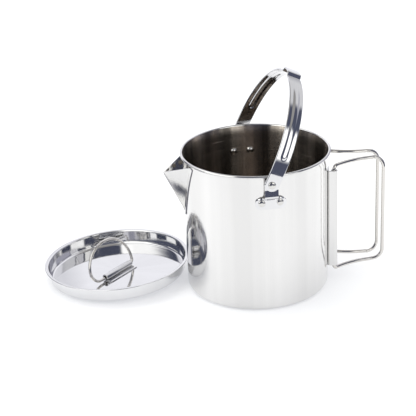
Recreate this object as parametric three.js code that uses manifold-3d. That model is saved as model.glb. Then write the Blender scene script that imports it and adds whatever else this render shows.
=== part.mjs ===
// Spouted camping kettle: a drawn steel pot with a strap bail, a folding wire handle and a lift-off pan lid
// lying open beside it.  Millimetres, +Z up.  The origin is the centre of the pot's base; +X points to the
// wire handle, -X to the spout, and the bail turns on two ears at -Y (front) and +Y (back).

import * as THREE from 'three';
import * as BufferGeometryUtils from 'three/addons/utils/BufferGeometryUtils.js';
import Module from 'manifold-3d';

const wasm = await Module();
wasm.setup();

// ---- driving dimensions -------------------------------------------------------------------------------

const SHEET = 0.8;                    // steel sheet of the pot, lid and spout
const GAP = 0.3;                      // clearance between pieces that touch

const pot = {
  radius: 60,
  height: 120,
  cornerRadius: 5,
  flare: 1,                           // how far the wall widens at the rim
  flareHeight: 8,                     // below the rim
  beadRadius: 1.1,                    // the rolled rim
  beadTuck: -2.1,                     // angle on the bead where it meets the wall, in radians
  segments: 64,
};
const spout = {
  apexZ: 68.6,                        // lowest point, where the keel leaves the wall
  tip: new THREE.Vector3(-78, 0, 106.4),
  cornerZ: 115.9,                     // top corners against the wall, under the rim bead
  cornerY: 18.4,
  keelLength: 80,                     // of the wedge that the V is cut from
  keelBelow: 60,                      // its length below the tip
};
const strainer = { holeRadius: 1.9, rows: 5, rowPitch: 7, topZ: 109, columnPitch: 6.2 };

const ear = {
  thickness: 1.2,
  barHalfAngle: THREE.MathUtils.degToRad(11.5),
  barLow: 91,
  barHigh: 101,
  inset: 1,                           // how far the tongue runs down behind the bar's edge
  tongueWidth: 11,
  jogHeight: 3,                       // the tongue steps out over this height above the bar
  jogTo: 63.2,                        // inner face of the tongue, clear of the rim bead
  fillet: 1.5,
};
const rivet = { shankRadius: 1.7, headRadius: 2.8, headHeight: 1.3, spacing: 7.4, z: 96.5 };

const bail = {
  pivotZ: 113.4,
  lean: THREE.MathUtils.degToRad(25), // from upright, towards the wire handle
  halfSpan: 65.6,                     // centre line of the strap at the pivots
  straight: 8,                        // height of the straight legs above the pivots
  rise: 66.5,                         // height of the elliptical arch above the legs
  width: 12,
  thickness: 1.5,
  humpHalf: 8,                        // the hanging hump at the top of the arch
  humpTop: 3,
  humpHeight: 3,
};
const bead = { width: 5.5, height: 0.7, from: 0.2, to: 0.88, steps: 18 };  // in quarter turns of the arch
const pivot = { shankRadius: 2, headRadius: 3, headHeight: 1.6, innerHeadHeight: 0.9 };

const knuckle = { circle: 65.2, angle: THREE.MathUtils.degToRad(16.8), radius: 2.8, low: 15.8, high: 102 };
const bracket = { low: 13, high: 104.5, thickness: 0.9, edgeInset: THREE.MathUtils.degToRad(1.6) };
const wing = {
  wireRadius: 1.6,
  armLow: 12.2,
  armHigh: 105.6,
  pinBend: 3.4,
  gripBend: 9,
  pinLength: 12,
  foldAngle: THREE.MathUtils.degToRad(140.5),
  armTurn: THREE.MathUtils.degToRad(41.6),
};

const lid = {
  lipRadius: 62.7,
  wallRadius: 58.9,
  depth: 13,
  cornerRadius: 3,
  neck: 0.6,                          // chamfer under the lip
  lipRound: 0.4,
  direction: THREE.MathUtils.degToRad(161.8),  // from the pot to the lid, about +Z
  lean: THREE.MathUtils.degToRad(2.74),        // away from the pot
  segments: 64,
};
const ring = {
  wireRadius: 1.1,
  halfWidth: 26,
  height: 30.2,
  rightCorner: 3.5,                   // the ring's two lower corners are bent differently
  leftCorner: 10,
  offset: -5.7,                       // of the ring's middle from the middle of its sleeve
  lean: THREE.MathUtils.degToRad(11.6),  // from upright, towards the back
  seam: 0.5,                          // half the gap between the wire's two ends
};
const sleeve = {
  radius: 2.3,
  bore: 1.4,
  length: 33.5,
  centre: new THREE.Vector2(-0.7, -4.6),
  direction: THREE.MathUtils.degToRad(43.4),
  flange: 7.5,
};

// ---- materials ----------------------------------------------------------------------------------------

const steel = (color, roughness) => new THREE.MeshStandardMaterial({ color, roughness, metalness: 1 });
const brushedSteel = steel(0xd8d8d6, 0.22);
const polishedSteel = steel(0xdfdfe2, 0.08);
const stampedSteel = steel(0xd0d0d4, 0.16);
const wireSteel = steel(0xd6d4cf, 0.12);
const rivetSteel = steel(0xc9c8c2, 0.2);

// ---- solids -------------------------------------------------------------------------------------------

function solidOf(geometry, matrix = new THREE.Matrix4()) {
  const bare = geometry.clone();
  bare.deleteAttribute('normal');
  bare.deleteAttribute('uv');
  const merged = BufferGeometryUtils.mergeVertices(bare, 1e-4);
  merged.applyMatrix4(matrix);
  const mesh = new wasm.Mesh({
    numProp: 3,
    vertProperties: Float32Array.from(merged.attributes.position.array),
    triVerts: Uint32Array.from(merged.index.array),
  });
  return new wasm.Manifold(mesh);
}

function geometryOf(solid) {
  const mesh = solid.getMesh();
  const geometry = new THREE.BufferGeometry();
  geometry.setAttribute('position', new THREE.BufferAttribute(mesh.vertProperties, 3));
  geometry.setIndex(new THREE.BufferAttribute(mesh.triVerts, 1));
  return geometry;
}

// A profile of [radius, height] points turned about +Z.
function turned(profile, segments) {
  const points = profile.map(([r, z]) => new THREE.Vector2(r, z));
  return new THREE.LatheGeometry(points, segments).rotateX(Math.PI / 2);
}

// Points on an arc of a circle at (cx, cy), from one angle to another.
function arc(cx, cy, radius, from, to, count) {
  return Array.from({ length: count + 1 }, (_, i) => {
    const a = from + ((to - from) * i) / count;
    return [cx + radius * Math.cos(a), cy + radius * Math.sin(a)];
  });
}

const shapeOf = (points) => new THREE.Shape(points.map(([x, y]) => new THREE.Vector2(x, y)));
const extruded = (points, depth, curveSegments = 12) =>
  new THREE.ExtrudeGeometry(shapeOf(points), { depth, bevelEnabled: false, curveSegments });

// A round bar or a tool for a round hole, from one point to another.
function rod(from, to, radius, sides = 16) {
  const axis = to.clone().sub(from);
  const turn = new THREE.Quaternion().setFromUnitVectors(new THREE.Vector3(0, 1, 0), axis.clone().normalize());
  const middle = from.clone().addScaledVector(axis, 0.5);
  return new THREE.CylinderGeometry(radius, radius, axis.length(), sides)
    .applyQuaternion(turn)
    .translate(middle.x, middle.y, middle.z);
}

const radial = (radius, angle, z) => new THREE.Vector3(radius * Math.cos(angle), radius * Math.sin(angle), z);
const HOLE_FROM = pot.radius - 10;
const HOLE_TO = pot.radius + 10;
const radialHole = (angle, z, radius) =>
  solidOf(rod(radial(HOLE_FROM, angle, z), radial(HOLE_TO, angle, z), radius));

// ---- pot ----------------------------------------------------------------------------------------------

const FRONT = -Math.PI / 2;
const BACK = Math.PI / 2;
const rivetStep = Math.asin(rivet.spacing / (pot.radius + ear.thickness));
const rivetAngles = [FRONT - rivetStep, FRONT + rivetStep, BACK - rivetStep, BACK + rivetStep];

function potProfile() {
  const beadX = pot.radius - SHEET + pot.flare + pot.beadRadius;
  const beadZ = pot.height - pot.beadRadius;
  const flareZ = pot.height - pot.flareHeight;
  const corner = pot.cornerRadius;
  const outerCorner = arc(pot.radius - corner, corner, corner, -Math.PI / 2, 0, 4);
  const innerCorner = arc(pot.radius - corner, corner, corner - SHEET, 0, -Math.PI / 2, 4);
  const rim = arc(beadX, beadZ, pot.beadRadius, pot.beadTuck, Math.PI, 10);
  return [
    [0, 0],
    ...outerCorner,
    [pot.radius, flareZ],
    ...rim,
    [pot.radius - SHEET, flareZ],
    ...innerCorner,
    [0, SHEET],
  ];
}

function strainerHoles() {
  const holes = [];
  for (let row = 0; row < strainer.rows; row += 1) {
    const count = strainer.rows - row;
    for (let i = 0; i < count; i += 1) {
      const y = (i - (count - 1) / 2) * strainer.columnPitch;
      const angle = Math.PI - Math.asin(y / pot.radius);
      holes.push(radialHole(angle, strainer.topZ - row * strainer.rowPitch, strainer.holeRadius));
    }
  }
  return holes;
}

function potBody() {
  let solid = solidOf(turned(potProfile(), pot.segments));
  const rivetHoles = rivetAngles.map((angle) => radialHole(angle, rivet.z, rivet.shankRadius + GAP));
  for (const hole of [...rivetHoles, ...strainerHoles()]) {
    solid = solid.subtract(hole);
  }
  return geometryOf(solid);
}

// The spout is a V of two flat faces folded along a keel, trimmed to the wall and to the sloping mouth.
function spoutBody() {
  const apex = new THREE.Vector3(-pot.radius, 0, spout.apexZ);
  const keel = spout.tip.clone().sub(apex).normalize();
  const inward = new THREE.Vector3(keel.z, 0, -keel.x);
  const cornerX = -Math.sqrt(pot.radius ** 2 - spout.cornerY ** 2);
  const corner = new THREE.Vector3(cornerX, spout.cornerY, spout.cornerZ);
  const depth = corner.clone().sub(apex).dot(inward);
  const slope = spout.cornerY / depth;
  const reach = 1.2 * depth;
  const wedge = (shift) => {
    const outline = [[shift, 0], [reach + shift, slope * reach], [reach + shift, -slope * reach]];
    const frame = new THREE.Matrix4().makeBasis(inward, new THREE.Vector3(0, 1, 0), keel);
    frame.setPosition(spout.tip.clone().addScaledVector(keel, -spout.keelBelow));
    return solidOf(extruded(outline, spout.keelLength), frame);
  };
  const halfAngle = Math.atan(slope);
  const mouth = Math.atan2(spout.cornerZ - spout.tip.z, cornerX - spout.tip.x);
  const size = 2 * pot.radius;
  const above = new THREE.BoxGeometry(size, size, size).translate(0, 0, size / 2).rotateY(-mouth);
  above.translate(spout.tip.x, 0, spout.tip.z);
  const face = pot.radius + GAP;
  const flareZ = pot.height - pot.flareHeight;
  const wall = turned([[0, 0], [face, 0], [face, flareZ], [face + pot.flare, pot.height], [0, pot.height]], 120);
  const solid = wedge(0)
    .subtract(wedge(SHEET / Math.sin(halfAngle)))
    .subtract(solidOf(above))
    .subtract(solidOf(wall));
  return geometryOf(solid);
}

// ---- ears and rivets ----------------------------------------------------------------------------------

const KNIFE = 20;                     // reach of the tools that trim the plates

// An ear is a T plate: a bar curved to the wall, and a tongue that steps out past the rim bead.
function earBody(side) {
  const wall = pot.radius + GAP;
  const outer = wall + ear.thickness;
  const bar = [
    ...arc(0, 0, outer, BACK - ear.barHalfAngle, BACK + ear.barHalfAngle, 14),
    ...arc(0, 0, wall, BACK + ear.barHalfAngle, BACK - ear.barHalfAngle, 14),
  ];
  const barSolid = solidOf(extruded(bar, ear.barHigh - ear.barLow).translate(0, 0, ear.barLow));
  const tongueTop = bail.pivotZ + ear.tongueWidth / 2;
  const tongueLow = ear.barLow + ear.inset;
  const tongueHigh = tongueTop + ear.inset;
  const jogHigh = ear.barHigh + ear.jogHeight;
  const lag = ear.thickness / 2;
  const tongue = [
    [wall, tongueLow],
    [outer, tongueLow],
    [outer, ear.barHigh],
    [ear.jogTo + ear.thickness, jogHigh],
    [ear.jogTo + ear.thickness, tongueHigh],
    [ear.jogTo, tongueHigh],
    [ear.jogTo, jogHigh + lag],
    [wall, ear.barHigh + lag],
  ];
  const across = new THREE.Matrix4().makeBasis(
    new THREE.Vector3(0, 1, 0), new THREE.Vector3(0, 0, 1), new THREE.Vector3(1, 0, 0));
  across.setPosition(-ear.tongueWidth / 2, 0, 0);
  const tongueSolid = solidOf(extruded(tongue, ear.tongueWidth), across);

  const barEnd = outer * Math.sin(ear.barHalfAngle);
  const middle = (ear.barLow + ear.barHigh) / 2;
  const endRadius = (ear.barHigh - ear.barLow) / 2;
  const half = ear.tongueWidth / 2;
  const outline = [
    ...arc(barEnd - endRadius, middle, endRadius, -Math.PI / 2, Math.PI / 2, 10),
    [half + ear.fillet, ear.barHigh],
    [half, ear.barHigh + ear.fillet],
    ...arc(0, bail.pivotZ, half, 0, Math.PI, 16),
    [-half, ear.barHigh + ear.fillet],
    [-half - ear.fillet, ear.barHigh],
    ...arc(endRadius - barEnd, middle, endRadius, Math.PI / 2, (3 * Math.PI) / 2, 10),
  ];
  const facing = new THREE.Matrix4().makeBasis(
    new THREE.Vector3(1, 0, 0), new THREE.Vector3(0, 0, 1), new THREE.Vector3(0, -1, 0));
  facing.setPosition(0, pot.radius + KNIFE, 0);
  const outlineSolid = solidOf(extruded(outline, 2 * KNIFE), facing);

  let solid = barSolid.add(tongueSolid).intersect(outlineSolid);
  solid = solid.subtract(radialHole(BACK, bail.pivotZ, pivot.shankRadius + GAP));
  for (const step of [-rivetStep, rivetStep]) {
    solid = solid.subtract(radialHole(BACK + step, rivet.z, rivet.shankRadius + GAP));
  }
  const geometry = geometryOf(solid);
  return side === FRONT ? geometry.rotateZ(Math.PI) : geometry;
}

// A rivet lies along +Z here, with its shank between two radii measured from the pot's axis.
function rivetProfile(shankFrom, shankTo, shankRadius, headRadius, innerHead, outerHead) {
  const dome = (z, height) => arc(0, 0, 1, 0, Math.PI / 2, 4)
    .map(([c, s]) => [headRadius * c, z + height * s]);
  return [
    ...dome(shankFrom, -innerHead).reverse(),
    [shankRadius, shankFrom],
    [shankRadius, shankTo],
    ...dome(shankTo, outerHead),
  ].map(([r, z], i, all) => (i === 0 || i === all.length - 1 ? [0, z] : [r, z]));
}

const toRadial = (geometry, angle, z) => geometry.rotateY(Math.PI / 2).rotateZ(angle).translate(0, 0, z);

function earRivetBody(angle) {
  const innerFace = pot.radius - SHEET - GAP;
  const outerFace = pot.radius + 2 * GAP + ear.thickness;
  const profile = rivetProfile(
    innerFace, outerFace, rivet.shankRadius, rivet.headRadius, rivet.headHeight, rivet.headHeight);
  return toRadial(turned(profile, 16), angle, rivet.z);
}

function pivotRivetBody(angle) {
  const innerFace = ear.jogTo - GAP;
  const outerFace = bail.halfSpan + bail.thickness / 2 + GAP;
  const profile = rivetProfile(
    innerFace, outerFace, pivot.shankRadius, pivot.headRadius, pivot.innerHeadHeight, pivot.headHeight);
  return toRadial(turned(profile, 20), angle, bail.pivotZ);
}

// ---- bail ---------------------------------------------------------------------------------------------

// The arch stands in the plane of Y and Z here, with the pivots at height 0.
function archPoint(t) {
  const y = bail.halfSpan * Math.cos(t);
  const z = bail.straight + bail.rise * Math.sin(t);
  const ramp = THREE.MathUtils.smoothstep(bail.humpHalf - Math.abs(y), 0, bail.humpHalf - bail.humpTop);
  return new THREE.Vector2(y, z + bail.humpHeight * ramp);
}

// The arch's line pushed out by a distance along its own normal.
function archOffset(t, distance) {
  const step = 1e-3;
  const ahead = archPoint(Math.min(t + step, Math.PI));
  const behind = archPoint(Math.max(t - step, 0));
  const tangent = ahead.sub(behind).normalize();
  const point = archPoint(t);
  return [point.x + tangent.y * distance, point.y - tangent.x * distance];
}

// Angles along the arch, closer together over the hump.
function archAngles() {
  const hump = Math.acos(bail.humpHalf / bail.halfSpan);
  const span = (from, to, count) =>
    Array.from({ length: count }, (_, i) => from + ((to - from) * i) / count);
  return [...span(0, hump, 18), ...span(hump, Math.PI - hump, 22), ...span(Math.PI - hump, Math.PI, 18), Math.PI];
}

const acrossArch = (geometry, width) => geometry
  .translate(0, 0, -width / 2)
  .applyMatrix4(new THREE.Matrix4().makeBasis(
    new THREE.Vector3(0, 1, 0), new THREE.Vector3(0, 0, 1), new THREE.Vector3(1, 0, 0)));

function archBand(angles, from, to, width, feet = []) {
  const outer = angles.map((t) => archOffset(t, to));
  const inner = angles.map((t) => archOffset(t, from)).reverse();
  const [right = [], left = []] = feet;
  return solidOf(acrossArch(extruded([...outer, ...left, ...inner, ...right], width), width));
}

function bailBody() {
  const half = bail.thickness / 2;
  const eye = bail.width / 2;
  const right = [[bail.halfSpan - half, -eye], [bail.halfSpan + half, -eye]];
  const left = [[-bail.halfSpan - half, -eye], [-bail.halfSpan + half, -eye]];
  let solid = archBand(archAngles(), -half, half, bail.width, [right, left]);

  for (const mirror of [false, true]) {
    const angles = Array.from({ length: bead.steps + 1 }, (_, i) => {
      const t = ((bead.from + ((bead.to - bead.from) * i) / bead.steps) * Math.PI) / 2;
      return mirror ? Math.PI - t : t;
    });
    angles.sort((a, b) => a - b);
    solid = solid.add(archBand(angles, 0, half + bead.height, bead.width));
    solid = solid.subtract(archBand(angles, -bail.thickness, bead.height - half, bead.width - bail.thickness));
  }

  const reach = bail.halfSpan + KNIFE;
  const top = bail.straight + bail.rise + KNIFE;
  const outline = [...arc(0, 0, eye, Math.PI, 2 * Math.PI, 16), [eye, top], [-eye, top]];
  const facing = new THREE.Matrix4().makeBasis(
    new THREE.Vector3(1, 0, 0), new THREE.Vector3(0, 0, 1), new THREE.Vector3(0, -1, 0));
  facing.setPosition(0, reach, 0);
  solid = solid.intersect(solidOf(extruded(outline, 2 * reach), facing));
  const pin = rod(new THREE.Vector3(0, -reach, 0), new THREE.Vector3(0, reach, 0), pivot.shankRadius + GAP, 24);
  return geometryOf(solid.subtract(solidOf(pin)));
}

// ---- folding wire handle ------------------------------------------------------------------------------

const knucklePoint = (side, z) => radial(knuckle.circle, side * knuckle.angle, z);

// The bracket is a plate curved to the wall, rolled into a knuckle tube along each upright edge.
function bracketBody() {
  const wall = pot.radius + GAP;
  const outer = wall + bracket.thickness;
  const edge = knuckle.angle - bracket.edgeInset;
  const plate = [...arc(0, 0, outer, -edge, edge, 12), ...arc(0, 0, wall, edge, -edge, 12)];
  const height = bracket.high - bracket.low;
  let solid = solidOf(extruded(plate, height).translate(0, 0, bracket.low));
  for (const side of [-1, 1]) {
    const centre = knucklePoint(side, 0);
    const root = radial(wall + bracket.thickness / 2, side * edge, 0);
    const along = centre.clone().sub(root).normalize().multiplyScalar(bracket.thickness / 2);
    const web = [
      [root.x - along.y, root.y + along.x],
      [root.x + along.y, root.y - along.x],
      [centre.x + along.y, centre.y - along.x],
      [centre.x - along.y, centre.y + along.x],
    ];
    const ordered = THREE.ShapeUtils.isClockWise(web.map(([x, y]) => ({ x, y }))) ? web.reverse() : web;
    const tall = knuckle.high - knuckle.low;
    solid = solid.add(solidOf(extruded(ordered, tall).translate(0, 0, knuckle.low)));
    const tube = rod(knucklePoint(side, knuckle.low), knucklePoint(side, knuckle.high), knuckle.radius);
    solid = solid.add(solidOf(tube));
  }
  for (const side of [-1, 1]) {
    const bore = rod(knucklePoint(side, 0), knucklePoint(side, pot.height), wing.wireRadius + GAP);
    solid = solid.subtract(solidOf(bore));
  }
  return geometryOf(solid);
}

// Points round a bend at a corner, between the directions that point away from it.
function bend(corner, towardsStart, towardsEnd, radius, count = 6) {
  const start = towardsStart.clone().normalize();
  const end = towardsEnd.clone().normalize();
  const halfAngle = start.angleTo(end) / 2;
  const reach = radius / Math.tan(halfAngle);
  const centre = corner.clone().addScaledVector(start.clone().add(end).normalize(), radius / Math.sin(halfAngle));
  const first = corner.clone().addScaledVector(start, reach).sub(centre);
  const last = corner.clone().addScaledVector(end, reach).sub(centre);
  const axis = first.clone().cross(last).normalize();
  return Array.from({ length: count + 1 }, (_, i) =>
    first.clone().applyAxisAngle(axis, (first.angleTo(last) * i) / count).add(centre));
}

function wire(points, radius, steps, sides = 8) {
  const path = new THREE.CatmullRomCurve3(points, false, 'centripetal');
  const section = shapeOf(arc(0, 0, radius, 0, 2 * Math.PI, sides).slice(0, sides));
  return new THREE.ExtrudeGeometry(section, { steps, extrudePath: path, bevelEnabled: false });
}

// Each wing is a C of wire.  Its arms are curved so that they lie along the pot when it is folded.
function wingBody(side) {
  const pinTop = knucklePoint(side, wing.armHigh);
  const pinLow = knucklePoint(side, wing.armLow);
  const towardsCentre = side * (knuckle.angle + Math.PI - wing.foldAngle);
  const centre = radial(knuckle.circle, towardsCentre, 0).add(knucklePoint(side, 0));
  const armStart = towardsCentre + Math.PI;
  const armPoint = (turn, z) => radial(knuckle.circle, armStart + side * turn, z).add(centre);
  const tangent = (turn) => radial(1, armStart + side * (turn + Math.PI / 2), 0);
  const up = new THREE.Vector3(0, 0, 1);
  const down = up.clone().negate();
  const outward = tangent(0);
  const endTurn = wing.armTurn;
  const inward = tangent(endTurn).negate();
  const firstTurn = (wing.pinBend + 1) / knuckle.circle;
  const lastTurn = endTurn - (wing.gripBend + 1) / knuckle.circle;
  const armTurns = Array.from({ length: 6 }, (_, i) => firstTurn + ((lastTurn - firstTurn) * i) / 5);
  const upperArm = armTurns.map((turn) => armPoint(turn, wing.armHigh));
  const lowerArm = armTurns.map((turn) => armPoint(turn, wing.armLow)).reverse();
  const points = [
    pinTop.clone().addScaledVector(down, wing.pinLength + wing.pinBend),
    ...bend(pinTop, down, outward, wing.pinBend),
    ...upperArm,
    ...bend(armPoint(endTurn, wing.armHigh), inward, down, wing.gripBend),
    armPoint(endTurn, (wing.armHigh + wing.armLow) / 2),
    ...bend(armPoint(endTurn, wing.armLow), up, inward, wing.gripBend),
    ...lowerArm,
    ...bend(pinLow, outward, up, wing.pinBend),
    pinLow.clone().addScaledVector(up, wing.pinLength + wing.pinBend),
  ];
  return wire(points, wing.wireRadius, 96);
}

// ---- lid ----------------------------------------------------------------------------------------------

// The lid is a shallow pan whose wall drops into the pot's mouth and whose lip rests on the rim.
function lidProfile() {
  const corner = lid.cornerRadius;
  const wall = lid.wallRadius;
  const lipLow = lid.depth - SHEET;
  return [
    [0, 0],
    ...arc(wall - corner, corner, corner, -Math.PI / 2, 0, 4),
    [wall, lipLow - lid.neck],
    [wall + lid.neck, lipLow],
    [lid.lipRadius - lid.lipRound, lipLow],
    [lid.lipRadius, lipLow + lid.lipRound],
    [lid.lipRadius - lid.lipRound, lid.depth],
    [wall, lid.depth],
    [wall - SHEET, lid.depth - SHEET],
    ...arc(wall - corner, corner, corner - SHEET, 0, -Math.PI / 2, 4),
    [0, SHEET],
  ];
}

const sleeveHeight = SHEET + GAP + sleeve.radius;

// The ring's sleeve lies along +X here, with its flat tail welded to the lid on the -Y side.
function sleeveBody() {
  const half = sleeve.length / 2;
  const bar = rod(new THREE.Vector3(-half, 0, 0), new THREE.Vector3(half, 0, 0), sleeve.radius);
  const tail = new THREE.BoxGeometry(sleeve.length, sleeve.flange, SHEET);
  tail.translate(0, -sleeve.flange / 2, SHEET / 2 - sleeve.radius);
  const bore = rod(new THREE.Vector3(-sleeve.length, 0, 0), new THREE.Vector3(sleeve.length, 0, 0), sleeve.bore);
  return geometryOf(solidOf(bar).add(solidOf(tail)).subtract(solidOf(bore)));
}

// The ring is a D of wire in the plane of X and Z here; its straight side turns in the sleeve.
function ringBody() {
  const half = ring.halfWidth;
  const crown = Array.from({ length: 17 }, (_, i) => {
    const t = (Math.PI * i) / 16;
    const foot = t < Math.PI / 2 ? ring.rightCorner : ring.leftCorner;
    return new THREE.Vector3(half * Math.cos(t), 0, foot + (ring.height - foot) * Math.sin(t));
  });
  const east = new THREE.Vector3(1, 0, 0);
  const west = east.clone().negate();
  const up = new THREE.Vector3(0, 0, 1);
  const right = east.clone().multiplyScalar(half);
  const left = west.clone().multiplyScalar(half);
  const points = [
    east.clone().multiplyScalar(ring.seam),
    east.clone().multiplyScalar(half / 2),
    ...bend(right, west, up, ring.rightCorner).slice(0, -1),
    ...crown,
    ...bend(left, up, east, ring.leftCorner).slice(1),
    west.clone().multiplyScalar(half / 4),
    west.clone().multiplyScalar(ring.seam),
  ];
  return wire(points, ring.wireRadius, 72);
}

// ---- assembly -----------------------------------------------------------------------------------------

function named(name, geometry, material) {
  const mesh = new THREE.Mesh(geometry, material);
  mesh.name = name;
  return mesh;
}

const kettle = new THREE.Group();
kettle.add(named('pot_body', potBody(), brushedSteel));
kettle.add(named('spout', spoutBody(), brushedSteel));
kettle.add(named('ear_front', earBody(FRONT), stampedSteel));
kettle.add(named('ear_back', earBody(BACK), stampedSteel));
const rivetNames = ['ear_rivet_front_left', 'ear_rivet_front_right', 'ear_rivet_back_right', 'ear_rivet_back_left'];
rivetNames.forEach((name, i) => kettle.add(named(name, earRivetBody(rivetAngles[i]), rivetSteel)));
kettle.add(named('pivot_rivet_front', pivotRivetBody(FRONT), rivetSteel));
kettle.add(named('pivot_rivet_back', pivotRivetBody(BACK), rivetSteel));

const strap = named('bail_strap', bailBody(), stampedSteel);
strap.position.z = bail.pivotZ;
strap.rotation.y = bail.lean;
kettle.add(strap);

kettle.add(named('handle_bracket', bracketBody(), brushedSteel));
kettle.add(named('handle_wing_front', wingBody(-1), wireSteel));
kettle.add(named('handle_wing_back', wingBody(1), wireSteel));

const LID_REST = 0.1;                 // extra clearance where the lid leans on the wall

// The lid leans on the wall of the pot: its far edge is on the ground and its near lip against the wall.
const lidGroup = new THREE.Group();
const footRadius = lid.wallRadius - lid.cornerRadius;
const lipReach = lid.lipRadius * Math.cos(lid.lean) - lid.depth * Math.sin(lid.lean);
const lidDistance = pot.radius + GAP + LID_REST + lipReach;
const lowestCorner = footRadius * Math.sin(lid.lean) + lid.cornerRadius * (1 - Math.cos(lid.lean));
lidGroup.position.copy(radial(lidDistance, lid.direction, lowestCorner));
const leanAxis = radial(1, lid.direction + Math.PI / 2, 0);
lidGroup.quaternion.setFromAxisAngle(leanAxis, lid.lean);
kettle.add(lidGroup);
lidGroup.add(named('lid_pan', turned(lidProfile(), lid.segments), polishedSteel));

const sleeveGroup = new THREE.Group();
sleeveGroup.position.set(sleeve.centre.x, sleeve.centre.y, sleeveHeight);
sleeveGroup.rotation.z = sleeve.direction;
lidGroup.add(sleeveGroup);
sleeveGroup.add(named('lid_ring_sleeve', sleeveBody(), stampedSteel));

const ringMesh = named('lid_ring', ringBody(), wireSteel);
ringMesh.position.x = ring.offset;
ringMesh.rotation.x = -ring.lean;
sleeveGroup.add(ringMesh);

export default kettle;
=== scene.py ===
"""Spouted camping kettle in a small white studio.

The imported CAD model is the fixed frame.  Every sheet, wire and rivet is rebuilt here as a fine mesh in its
place, in millimetres, and turned into metres when its mesh is made.
"""
import math

import bmesh
import bpy
from mathutils import Matrix, Vector


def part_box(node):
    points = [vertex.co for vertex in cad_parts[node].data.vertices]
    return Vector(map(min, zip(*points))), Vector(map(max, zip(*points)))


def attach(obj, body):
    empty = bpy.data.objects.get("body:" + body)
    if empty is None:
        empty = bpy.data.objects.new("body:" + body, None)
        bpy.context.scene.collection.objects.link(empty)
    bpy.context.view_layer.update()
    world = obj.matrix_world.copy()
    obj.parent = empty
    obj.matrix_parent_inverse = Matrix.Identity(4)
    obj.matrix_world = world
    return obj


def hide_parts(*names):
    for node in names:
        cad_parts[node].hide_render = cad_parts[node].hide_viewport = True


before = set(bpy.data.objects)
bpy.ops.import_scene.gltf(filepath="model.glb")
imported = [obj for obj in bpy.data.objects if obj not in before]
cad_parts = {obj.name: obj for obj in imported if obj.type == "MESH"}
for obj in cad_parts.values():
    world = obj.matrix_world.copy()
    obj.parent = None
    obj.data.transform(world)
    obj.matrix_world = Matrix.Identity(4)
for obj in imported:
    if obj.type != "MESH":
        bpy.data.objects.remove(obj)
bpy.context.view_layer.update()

MM = 0.001
TAU = 2 * math.pi
X_AXIS, Y_AXIS, Z_AXIS = Vector((1, 0, 0)), Vector((0, 1, 0)), Vector((0, 0, 1))

# ---- sizes in millimetres ---------------------------------------------------------------------------

SHEET = 0.8
POT_RADIUS = 60.0
POT_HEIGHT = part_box("pot_body")[1].z / MM
POT_CORNER = 5.0
FLARE, FLARE_HEIGHT = 1.0, 8.0
RIM_BEAD, BEAD_TUCK = 1.1, -2.1

SPOUT_LOW = 68.6
SPOUT_TIP = Vector((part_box("spout")[0].x / MM, 0.0, 106.4))
SPOUT_CORNER_Z, SPOUT_CORNER_Y = 115.7, 19.4
FLANGE_WIDTH, FLANGE_THICK = 2.9, 0.8
HOLE_ROWS, HOLE_TOP, HOLE_DROP, HOLE_PITCH, HOLE_RADIUS = 5, 109, 7, 6.2, 1.9

RIVET_Z, RIVET_SPACING = 96.5, 7.4
RIVET_HEAD, INNER_HEAD, PIVOT_HEAD = (2.8, 1.2), (3.3, 2.1), (3.0, 1.4)     # radius and height
EAR_BAR = (91.0, 101.0)
EAR_THICK, EAR_TONGUE, EAR_HALF = 1.2, 11.0, 12.6
EAR_WALL, EAR_JOG, EAR_TOP = 60.28, 63.45, 63.0

PIVOT_Z = 113.4
BAIL_LEAN = math.radians(25)
BAIL_SPAN, BAIL_STRAIGHT, BAIL_RISE = 65.6, 8.0, 66.5
BAIL_WIDTH, BAIL_THICK, BAIL_END = 12.0, 1.5, 5.4
HUMP_HALF, HUMP_TOP, HUMP_HEIGHT = 8.0, 5.4, 3.0
BEAD_LOW, BEAD_HIGH, BEAD_HALF, BEAD_RISE = 27.0, 99.0, 2.75, 0.7           # along the strap, across and out

KNUCKLE_CIRCLE, KNUCKLE_ANGLE = 65.2, math.radians(16.8)
KNUCKLE_RADIUS, KNUCKLE_LOW, KNUCKLE_HIGH = 2.8, 15.8, 102.0
BRACKET_THICK = 0.9
WIRE_RADIUS, ARM_LOW, ARM_HIGH = 1.6, 12.2, 105.6
PIN_BEND, GRIP_BEND, ARM_TURN = 3.4, 9.0, math.radians(41.6)
FOLD = math.radians(140.5)

LID_LIP, LID_WALL, LID_DEPTH, LID_CORNER = 62.7, 58.9, 13.0, 3.0
LID_TAPER, LID_SHOULDER, LID_LIP_ROUND = 1.3, 0.7, 0.4
LID_DIRECTION, LID_LEAN = math.radians(161.8), math.radians(2.74)
SLEEVE_RADIUS, SLEEVE_LENGTH, SLEEVE_TAIL = 2.3, 33.5, 7.5
SLEEVE_ROOM = 0.45
SLEEVE_X, SLEEVE_Y, SLEEVE_TURN = -0.7, -4.6, math.radians(43.4)
RING_RADIUS, RING_HALF, RING_HEIGHT = 1.2, 26.0, 30.2
RING_RIGHT, RING_LEFT = 3.5, 10.0
RING_OFFSET, RING_LEAN = -5.7, math.radians(11.6)


# ---- mesh kit ---------------------------------------------------------------------------------------

def smoothstep(low, high, value):
    t = min(max((value - low) / (high - low), 0.0), 1.0)
    return t * t * (3 - 2 * t)


def spaced(start, end, count):
    return [start + (end - start) * i / (count - 1) for i in range(count)]


def arc(cx, cy, radius, start, end, count):
    """Points (x, y) on an arc, from one angle to another."""
    return [(cx + radius * math.cos(a), cy + radius * math.sin(a)) for a in spaced(start, end, count)]


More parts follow.
